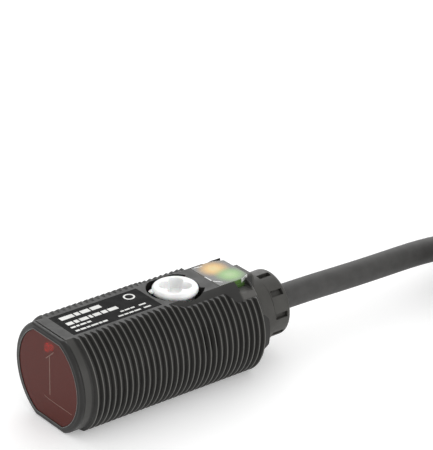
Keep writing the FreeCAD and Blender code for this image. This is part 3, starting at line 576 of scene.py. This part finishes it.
def bare_tips(runs):
    """Seven tinned strands with a slight lay at the end of each lead."""
    curve = bpy.data.curves.new("lead_strands", "CURVE")
    curve.dimensions = "3D"
    curve.bevel_depth = 0.11 * MM
    curve.bevel_resolution = 3
    curve.use_fill_caps = True
    strand_pitch = 0.23 * MM
    bare_length = 4 * MM
    sunk = 0.3 * MM
    steps = 12
    for points in runs.values():
        end = points[-1]
        along = (end - points[-2]).normalized()
        across = along.cross(Vector((0, 0, 1))).normalized()
        upward = across.cross(along)
        for strand in range(7):
            offset = 0 if strand == 6 else strand_pitch
            spline = curve.splines.new("POLY")
            spline.points.add(steps)
            for step, place in enumerate(spline.points):
                angle = math.radians(60 * strand + 20 * step)
                centre = end + along * (bare_length * step / steps - sunk)
                aside = (across * math.cos(angle) + upward * math.sin(angle)) * offset
                place.co = (*(centre + aside), 1)
    tips = piece("lead_strands", curve, SENSOR, bare_copper)
    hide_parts("lead_tips")
    return tips


def rounded_loop(low, high, radius, count=6):
    """The corners of a rectangle in two coordinates, each turned into an arc."""
    corners = ((high[0], high[1], 0), (low[0], high[1], 90), (low[0], low[1], 180), (high[0], low[1], 270))
    points = []
    for x, z, start in corners:
        inward_x = -1 if x == high[0] else 1
        inward_z = -1 if z == high[1] else 1
        for step in range(count + 1):
            angle = math.radians(start + 90 * step / count)
            points.append((x + inward_x * radius + radius * math.cos(angle),
                           z + inward_z * radius + radius * math.sin(angle)))
    return points


def coil_tie():
    """A nylon strap with rounded edges round the bundle."""
    thick = 0.5 * MM
    corner = 2.4 * MM
    outer = rounded_loop((TIE_LOW.x, TIE_LOW.z), (TIE_HIGH.x, TIE_HIGH.z), corner)
    inner = rounded_loop((TIE_LOW.x + thick, TIE_LOW.z + thick),
                         (TIE_HIGH.x - thick, TIE_HIGH.z - thick), corner - thick)
    sides = ((inner, TIE_LOW.y), (outer, TIE_LOW.y), (outer, TIE_HIGH.y), (inner, TIE_HIGH.y))
    rows = [[(x, y, z) for x, z in loop] for loop, y in sides]
    strap = piece("tie_strap", ring_mesh("tie_strap", rows), SENSOR, tie_plastic)
    soften(strap, 0.15, 2, 50)
    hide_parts("coil_tie")
    return strap


def cables():
    cord = tube("cable_cord", cable_points(), CABLE_DIAMETER / 2, SENSOR, cable_jacket)
    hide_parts("cable", "cable_coil", "cable_tail")
    runs = lead_points()
    for colour, points in runs.items():
        lead = tube("lead_%s_wire" % colour, points, LEAD_DIAMETER / 2, SENSOR, wire_plastic[colour])
        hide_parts("lead_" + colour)
    tips = bare_tips(runs)
    strap = coil_tie()


cables()


# ---------------------------------------------------------------- nameplate print

def bar_row(across, along, height, widths, gap=0.24):
    """A row of bars that stands in for a line of print, read towards the cable."""
    bars = []
    for width in widths:
        if width > 0:
            bars.append((across, along + width / 2, width, height))
        along += abs(width) + gap
    return bars


def box_of(mesh, low, high):
    """Adds a plain box to a bmesh, between two corners in metres."""
    size = Vector(high) - Vector(low)
    place = Matrix.Translation((Vector(low) + Vector(high)) / 2) @ Matrix.Diagonal((*size, 1))
    bmesh.ops.create_cube(mesh, size=1, matrix=place)


def label_print():
    """Unreadable stand-in print: rows of bars where words would be, and a plain ring symbol."""
    rows = bar_row(-1.88, 3.7, 0.95, (2.3, 0.8, 1.5, 1.7))
    rows += bar_row(-0.05, 3.6, 0.85, (1.1, 0.7, 1.4, 0.5, 1.2, 0.9, 1.6))
    rows += bar_row(1.18, 3.5, 0.42, (0.8, 0.5, 1.0, 0.7), 0.16)
    rows += bar_row(2.38, 3.5, 0.42, (0.7, 0.9, 0.6, 1.2, 0.5, 0.8), 0.16)
    rows += bar_row(1.37, 12.0, 0.34, (0.6, 0.9, 0.7, -0.5, 1.2), 0.14)
    rows += bar_row(2.43, 10.9, 0.34, (0.9, 0.7, 0.8, 1.1, -0.3, 1.2), 0.14)
    bottom = LABEL_TOP - 0.01 * MM
    top = LABEL_TOP + 0.012 * MM
    mesh = bmesh.new()
    for across, along, width, height in rows:
        box_of(mesh, ((across - height / 2) * MM, FACE_Y + (along - width / 2) * MM, bottom),
               ((across + height / 2) * MM, FACE_Y + (along + width / 2) * MM, top))
    centre = Vector((-1.7 * MM, FACE_Y + 15.7 * MM, top))
    inside, outside = 0.62 * MM, 0.62 * 1.45 * MM
    ring = bmesh.ops.create_circle(mesh, segments=48, radius=inside, matrix=Matrix.Translation(centre))
    rim = list({edge for vert in ring["verts"] for edge in vert.link_edges})
    grown = bmesh.ops.extrude_edge_only(mesh, edges=rim)
    for vert in (item for item in grown["geom"] if isinstance(item, bmesh.types.BMVert)):
        vert.co.xy = centre.xy + (vert.co.xy - centre.xy) * (outside / inside)
    piece("label_print", finished(mesh, "label_print"), SENSOR, label_ink)


label_print()


# ---------------------------------------------------------------- sensing face

def flatted_loop(radius, flat, y):
    """Points round the barrel's axis on a circle cut off by a flat above and one below, at depth y."""
    reach = math.asin(flat / radius)
    side = radius * math.cos(reach)
    arc_steps = 44
    flat_steps = 16
    loop = []
    for turn in (0, math.pi):
        for step in range(arc_steps):
            angle = turn - reach + 2 * reach * step / arc_steps
            loop.append((radius * math.cos(angle), radius * math.sin(angle)))
        edge = math.cos(turn)
        for step in range(flat_steps):
            loop.append((edge * (side - 2 * side * step / flat_steps), edge * flat))
    return [Vector((x * MM, FACE_Y + y * MM, AXIS_Z + z * MM)) for x, z in loop]


def bezel_ring():
    """The black rim round the lens, rounded outside, with a fine raised lip at the opening, in paler grey as
    a painted highlight.
    """
    shoulder = []
    for step in range(9):
        turn = math.radians(90 * step / 8)
        shoulder.append((7.90 + 0.48 * math.cos(turn), 7.25 + 0.19 * math.cos(turn),
                         0.52 - 0.48 * math.sin(turn)))
    profile = [(8.38, 7.44, 0.80)] + shoulder + [
        (7.58, 6.82, 0.06), (7.54, 6.78, 0.02), (7.49, 6.73, 0.00), (7.43, 6.67, 0.01), (7.39, 6.63, 0.05),
        (7.37, 6.62, 0.10), (7.36, 6.61, 0.30), (7.36, 6.61, 0.80), (7.60, 6.80, 0.80),
    ]
    rows = [flatted_loop(radius, flat, y) for radius, flat, y in profile]
    ring = piece("bezel_ring", ring_mesh("bezel_ring", rows), SENSOR, bezel_plastic)
    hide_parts("front_bezel")
    # The lip is a real bead, its paler colour a painted highlight.
    lip = []
    for out, deep in circle(0.045, 8):
        lip.append(flatted_loop(7.42 + out, 6.66 + out, 0.02 + deep))
    piece("lens_lip", ring_mesh("lens_lip", lip), SENSOR, lip_highlight_plastic)


def lens_marks():
    """Fine raised lines on the lens: the rib between its halves, its slanted end and the frame's corner."""
    front = LENS_LOW.y - 0.012 * MM
    back = LENS_LOW.y + 0.05 * MM
    lines = (
        ((0.50, 3.75), (0.33, -2.6), 0.24),
        ((-0.45, 3.05), (1.65, 4.85), 0.15),
        ((-1.2, -3.25), (0.1, -3.42), 0.13),
        ((0.1, -3.42), (5.8, -3.44), 0.13),
    )
    mesh = bmesh.new()
    for start, end, width in lines:
        run, rise = end[0] - start[0], end[1] - start[1]
        length = math.hypot(run, rise)
        across, upward = (start[0] + end[0]) / 2 * MM, (start[1] + end[1]) / 2 * MM
        middle = Vector((across, (front + back) / 2, AXIS_Z + upward))
        place = Matrix.Translation(middle) @ Matrix.Rotation(-math.atan2(rise, run), 4, "Y") \
            @ Matrix.Diagonal((length * MM, back - front, width * MM, 1))
        bmesh.ops.create_cube(mesh, size=1, matrix=place)
    marks = piece("lens_marks", finished(mesh, "lens_marks"), SENSOR, rib_plastic)
    soften(marks, 0.02, 2)


def lit_spot():
    """The emitter's red light, seen as a soft patch high up behind the lens."""
    mesh = bmesh.new()
    for across, height, wide, tall in ((-1.1, 4.3, 1.3, 0.6), (-1.6, 3.6, 0.7, 0.4)):
        place = Matrix.Translation((across * MM, LENS_HIGH.y + 0.2 * MM, AXIS_Z + height * MM)) \
            @ Matrix.Rotation(math.radians(-20), 4, "Y") @ Matrix.Diagonal((wide, 0.2, tall, 1))
        bmesh.ops.create_uvsphere(mesh, u_segments=32, v_segments=16, radius=1.0 * MM, matrix=place)
    for face in mesh.faces:
        face.smooth = True
    piece("lit_spot", finished(mesh, "lit_spot"), SENSOR, red_light)


bezel_ring()
lens_marks()
lit_spot()


# ---------------------------------------------------------------- indicator window

def prism(mesh, outline, low, high):
    """Adds an upright prism to a bmesh from an outline of (across, along) millimetres."""
    rings = [[mesh.verts.new((x * MM, FACE_Y + y * MM, AXIS_Z + z * MM)) for x, y in outline]
             for z in (low, high)]
    mesh.faces.new(rings[0][::-1])
    mesh.faces.new(rings[1])
    for index in range(len(outline)):
        after = (index + 1) % len(outline)
        mesh.faces.new((rings[0][index], rings[0][after], rings[1][after], rings[1][index]))


GLINT_HALF = 0.075


def window():
    """The clear window with softened edges and cut rear corners, and near-white strips along its edges as
    painted glints.
    """
    mesh = bmesh.new()
    outline = ((-3.7, 28.25), (3.7, 28.25), (3.7, 32.1), (2.85, 34.0), (-2.85, 34.0), (-3.7, 32.1))
    prism(mesh, outline, 6.8, 7.5)
    for side in (-1, 1):
        inner, outer = sorted((side * 2.9, side * 3.7))
        prism(mesh, ((inner, 30.85), (outer, 30.85), (outer, 32.85), (inner, 32.85)), 5.9, 6.78)
    prism(mesh, ((-2.88, 28.9), (2.88, 28.9), (2.88, 32.3), (-2.88, 32.3)), 5.0, 6.78)
    clear = piece("window_clear", finished(mesh, "window_clear"), SENSOR, window_plastic)
    soften(clear, 0.08, 3)
    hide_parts("indicator_window")

    # Painted highlights: pale strips along the cut corners and three streaks on the plate.
    mesh = bmesh.new()
    for side in (-1, 1):
        cut = [(side * 3.66, 32.28), (side * 2.93, 33.9)]
        outline = cut + [(x - side * 0.12, y - 0.05) for x, y in reversed(cut)]
        prism(mesh, outline if side > 0 else outline[::-1], 6.86, 7.46)
    streaks = (((-0.1, 28.33), (1.5, 28.33)), ((1.75, 28.42), (2.9, 29.35)), ((-3.35, 28.7), (-3.1, 30.1)))
    for start, end in streaks:
        aside = (Vector(end) - Vector(start)).normalized().orthogonal() * GLINT_HALF
        prism(mesh, [Vector(start) - aside, Vector(end) - aside, Vector(end) + aside, Vector(start) + aside],
              7.44, 7.515)
    piece("window_glints", finished(mesh, "window_glints"), SENSOR, glint_plastic)


window()


# ---------------------------------------------------------------- adjuster

HEAD_RADIUS = 3.45
HEAD_ROUND = 0.5
CROSS_HALF = 0.95
CROSS_REACH = 2.4
CROSS_DEPTH = 1.4
CROSS_TURN = math.radians(49)
POINTER_ANGLE = math.radians(245)


def cross_gap(x, y):
    """Distance in millimetres from the outline of the crosshead recess, negative inside it."""
    turned_x = abs(x * math.cos(CROSS_TURN) + y * math.sin(CROSS_TURN))
    turned_y = abs(y * math.cos(CROSS_TURN) - x * math.sin(CROSS_TURN))
    long, short = max(turned_x, turned_y), min(turned_x, turned_y)
    past_end = max(0.0, long - (CROSS_REACH - CROSS_HALF))
    return math.hypot(past_end, short) - CROSS_HALF


def head_height(x, y, top):
    """Height of the head's upper side, with its rounded rim and soft-edged recess."""
    away = math.hypot(x, y)
    level = top
    if away > HEAD_RADIUS - HEAD_ROUND:
        over = min(1.0, (away - HEAD_RADIUS + HEAD_ROUND) / HEAD_ROUND)
        level = top - HEAD_ROUND * (1 - math.sqrt(max(0.0, 1 - over * over)))
    sink = smooth((0.12 - cross_gap(x, y)) / 0.32)
    return level - CROSS_DEPTH * sink


def six_faces(base):
    """The faces of a block whose eight points start at base, the lower four first."""
    sides = [(base + k, base + (k + 1) % 4, base + 4 + (k + 1) % 4, base + 4 + k) for k in range(4)]
    return [(base + 3, base + 2, base + 1, base), (base + 4, base + 5, base + 6, base + 7)] + sides


def adjuster_head():
    """The white head with its recess, the hub and stem under it, the pointer and the driving blade."""
    axis = Vector(frame["joints"][0]["pos_m"])
    top = KNOB_TOP / MM - AXIS_Z / MM
    segments = 144
    radii = [HEAD_RADIUS * step / 60 for step in range(1, 58)]
    radii += [HEAD_RADIUS - HEAD_ROUND * part for part in (0.13, 0.09, 0.05, 0.02, 0.0)]
    points = [(0, 0, head_height(0, 0, top))]
    for radius in radii:
        points += [(x, y, head_height(x, y, top)) for x, y in circle(radius, segments)]
    lower = ((3.45, 7.06), (3.41, 7.0), (2.95, 7.0), (2.9, 6.95), (2.9, 5.65), (2.85, 5.6), (1.25, 5.6),
             (1.2, 5.55), (1.2, 3.55), (1.15, 3.5))
    for radius, level in lower:
        points += [(x, y, level) for x, y in circle(radius, segments)]
    points.append((0, 0, 3.5))
    faces = [(0, 1 + k, 1 + (k + 1) % segments) for k in range(segments)]
    count = len(radii) + len(lower)
    for ring in range(count - 1):
        start = 1 + ring * segments
        for k in range(segments):
            after = (k + 1) % segments
            faces.append((start + k, start + segments + k, start + segments + after, start + after))
    last = 1 + (count - 1) * segments
    faces += [(last + (k + 1) % segments, last + k, len(points) - 1) for k in range(segments)]

    along = Vector((math.cos(POINTER_ANGLE), math.sin(POINTER_ANGLE)))
    across = Vector((-along.y, along.x))
    base = len(points)
    for level in (7.02, 7.38):
        for reach, half in ((3.1, 0.85), (3.98, 0.13), (3.98, -0.13), (3.1, -0.85)):
            place = along * reach + across * half
            points.append((place.x, place.y, level if reach < 3.5 else min(level, 7.3)))
    faces += six_faces(base)
    base = len(points)
    points += [(x, y, z) for z in (2.77, 3.6) for x, y in ((-1, -0.24), (1, -0.24), (1, 0.24), (-1, 0.24))]
    faces += six_faces(base)

    placed = [(axis.x + x * MM, axis.y + y * MM, AXIS_Z + z * MM) for x, y, z in points]
    head = piece("adjuster_head", mesh_of("adjuster_head", placed, faces), ADJUSTER, white_plastic)
    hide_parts("adjuster_knob")


adjuster_head()


# ---------------------------------------------------------------- stage

def area_light(name, power, width, depth, place, target):
    data = bpy.data.lights.new(name, "AREA")
    data.energy = power
    data.shape = "RECTANGLE"
    data.size = width
    data.size_y = depth
    thing = bpy.data.objects.new(name, data)
    bpy.context.scene.collection.objects.link(thing)
    thing.location = place
    thing.rotation_euler = (Vector(target) - Vector(place)).to_track_quat("-Z", "Y").to_euler()


def stage():
    bpy.ops.mesh.primitive_plane_add(size=6, location=(0, 0, -0.00002))
    floor = bpy.context.object
    floor.name = "floor"
    shader = Shader("floor_white", (0.88, 0.88, 0.88), 0.7, Emission_Strength=0.25)
    shader.inputs["Emission Color"].default_value = (1, 1, 1, 1)
    dress(floor, shader.material)
    world = bpy.data.worlds.new("studio")
    world.use_nodes = True
    world.node_tree.nodes["Background"].inputs["Color"].default_value = (1, 1, 1, 1)
    world.node_tree.nodes["Background"].inputs["Strength"].default_value = 0.93
    scene = bpy.context.scene
    scene.world = world
    scene.view_settings.view_transform = "Standard"
    middle = (0, 0.02, 0.01)
    area_light("back_softbox", 9, 1.6, 1.0, (-1.0, 1.1, 0.8), middle)
    area_light("side_softbox", 3, 0.8, 0.5, (1.2, 0.2, 0.35), middle)


stage()
